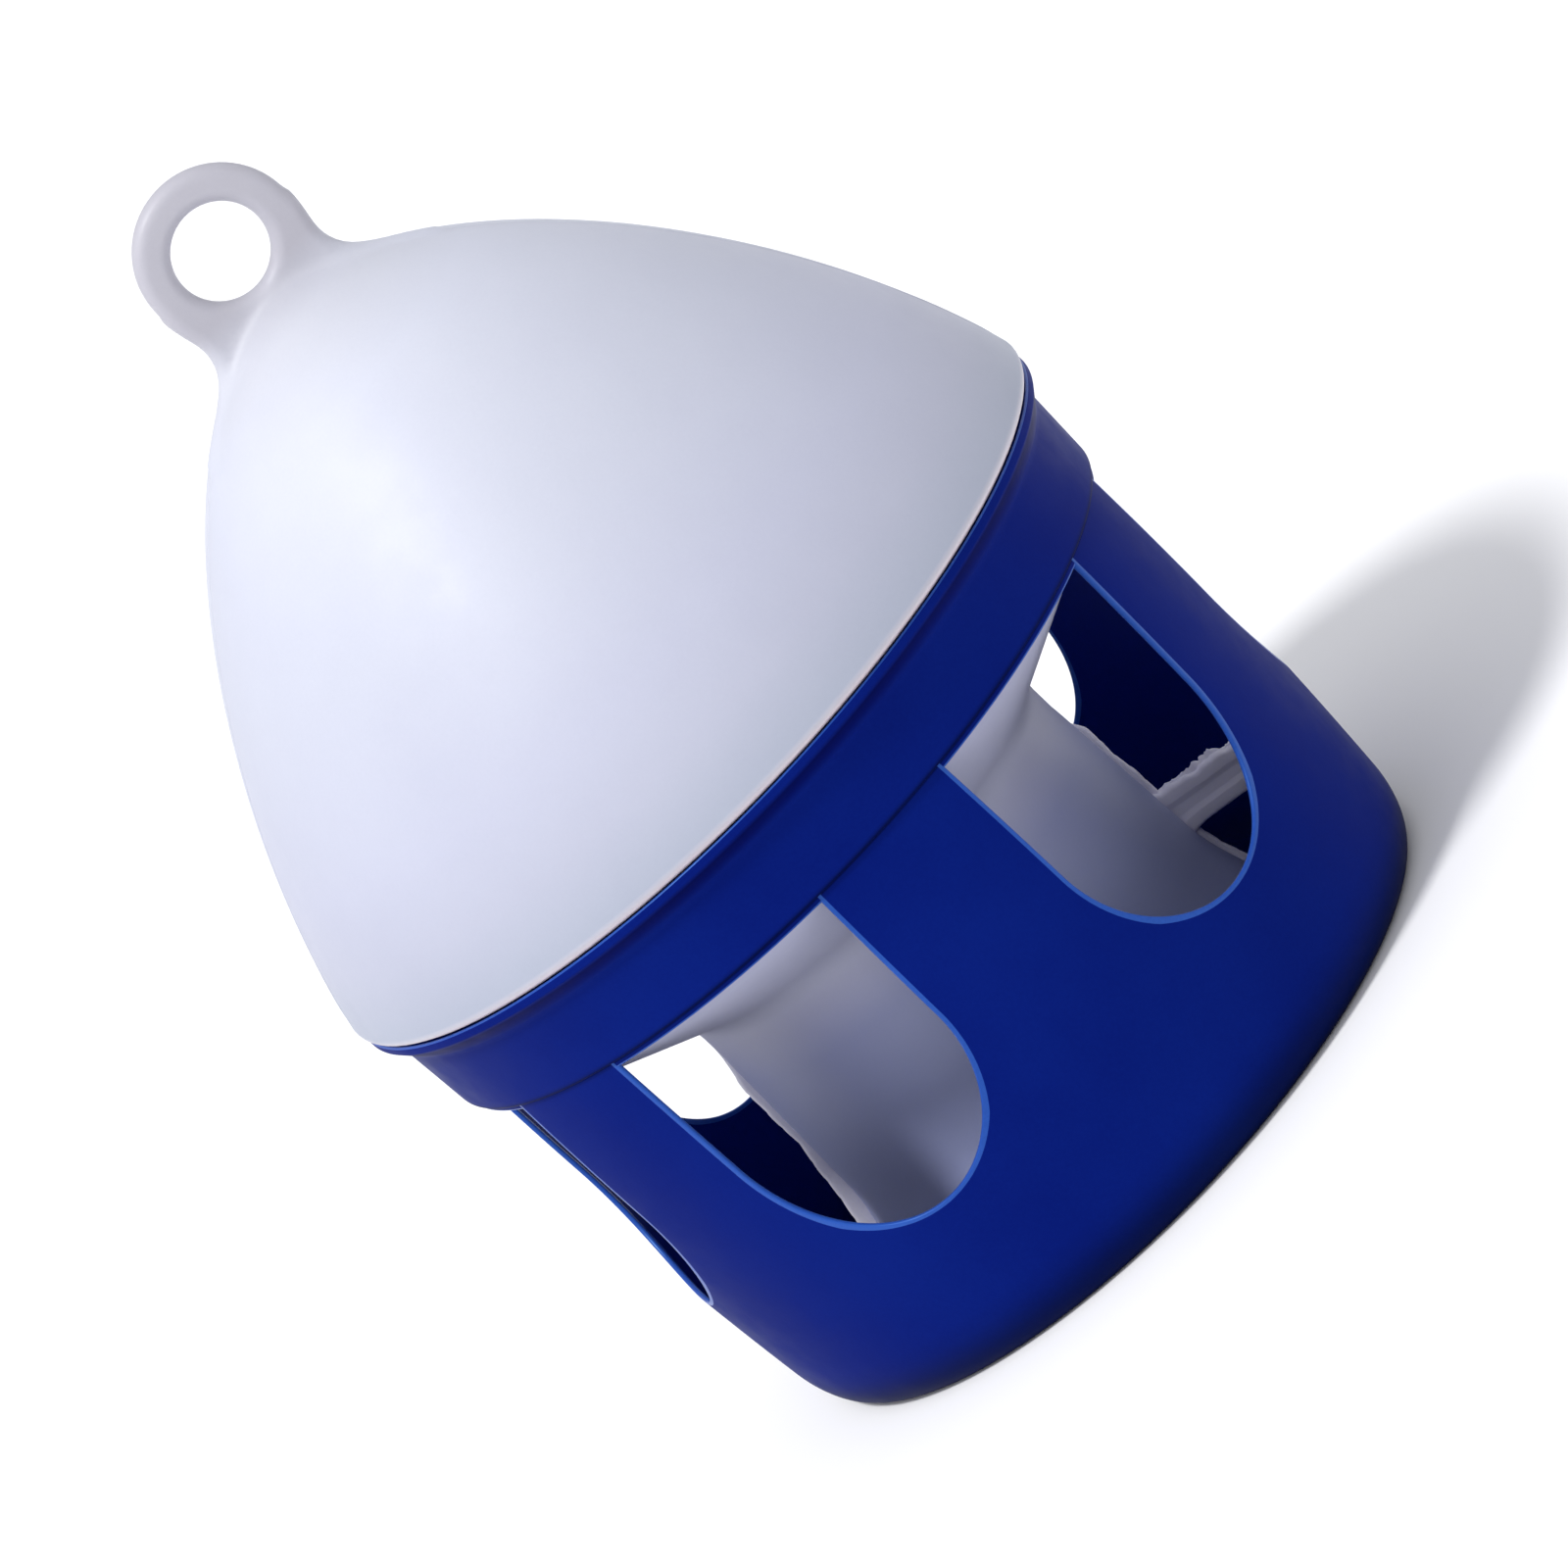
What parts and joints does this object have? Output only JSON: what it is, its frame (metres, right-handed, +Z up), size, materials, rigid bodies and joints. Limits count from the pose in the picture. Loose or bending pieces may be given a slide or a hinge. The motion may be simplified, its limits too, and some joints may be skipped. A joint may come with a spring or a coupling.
{
  "type": "poultry drinker",
  "caption": "Drinker for pigeons and poultry: a domed reservoir with a hanging ring stands neck-down in a bowl whose wall has arched drinking windows.",
  "frame": {"origin": "middle of the bowl's flat underside", "axes": "+Z up the drinker's own axis, through the hanging ring; the ring lies in the X-Z plane and the locking wing points to +X"},
  "size_m": [0.2006, 0.2006, 0.2898],
  "materials": {
    "reservoir_plastic": "satin white blow-moulded polyethylene with a faint blue cast",
    "bowl_plastic": "satin deep blue injection-moulded polypropylene"
  },
  "bodies": {
    "bowl": {"bowl_rim": "bowl_plastic", "bowl_collar": "bowl_plastic", "bowl_pillar_1": "bowl_plastic", "bowl_pillar_2": "bowl_plastic", "bowl_pillar_3": "bowl_plastic", "bowl_pillar_4": "bowl_plastic", "bowl_pillar_5": "bowl_plastic", "bowl_pillar_6": "bowl_plastic", "bowl_trough_wall": "bowl_plastic", "bowl_base_corner": "bowl_plastic", "bowl_floor": "bowl_plastic", "locking_catch": "bowl_plastic"},
    "mouth_ring": {"neck_mouth_rim": "reservoir_plastic"},
    "reservoir": {"reservoir_dome": "reservoir_plastic", "hanging_ring": "reservoir_plastic", "reservoir_skirt": "reservoir_plastic", "reservoir_shoulder": "reservoir_plastic", "reservoir_neck": "reservoir_plastic", "locking_wing": "reservoir_plastic"}
  },
  "joints": [
    {"name": "reservoir_lift", "type": "slide", "parent": "bowl", "child": "mouth_ring", "axis": [0, 0, 1], "range_m": [0, 0.14]},
    {"name": "reservoir_turn", "type": "hinge", "parent": "mouth_ring", "child": "reservoir", "pos_m": [0, 0, 0], "axis": [0, 0, 1], "range_deg": [-25, 0]}
  ]
}
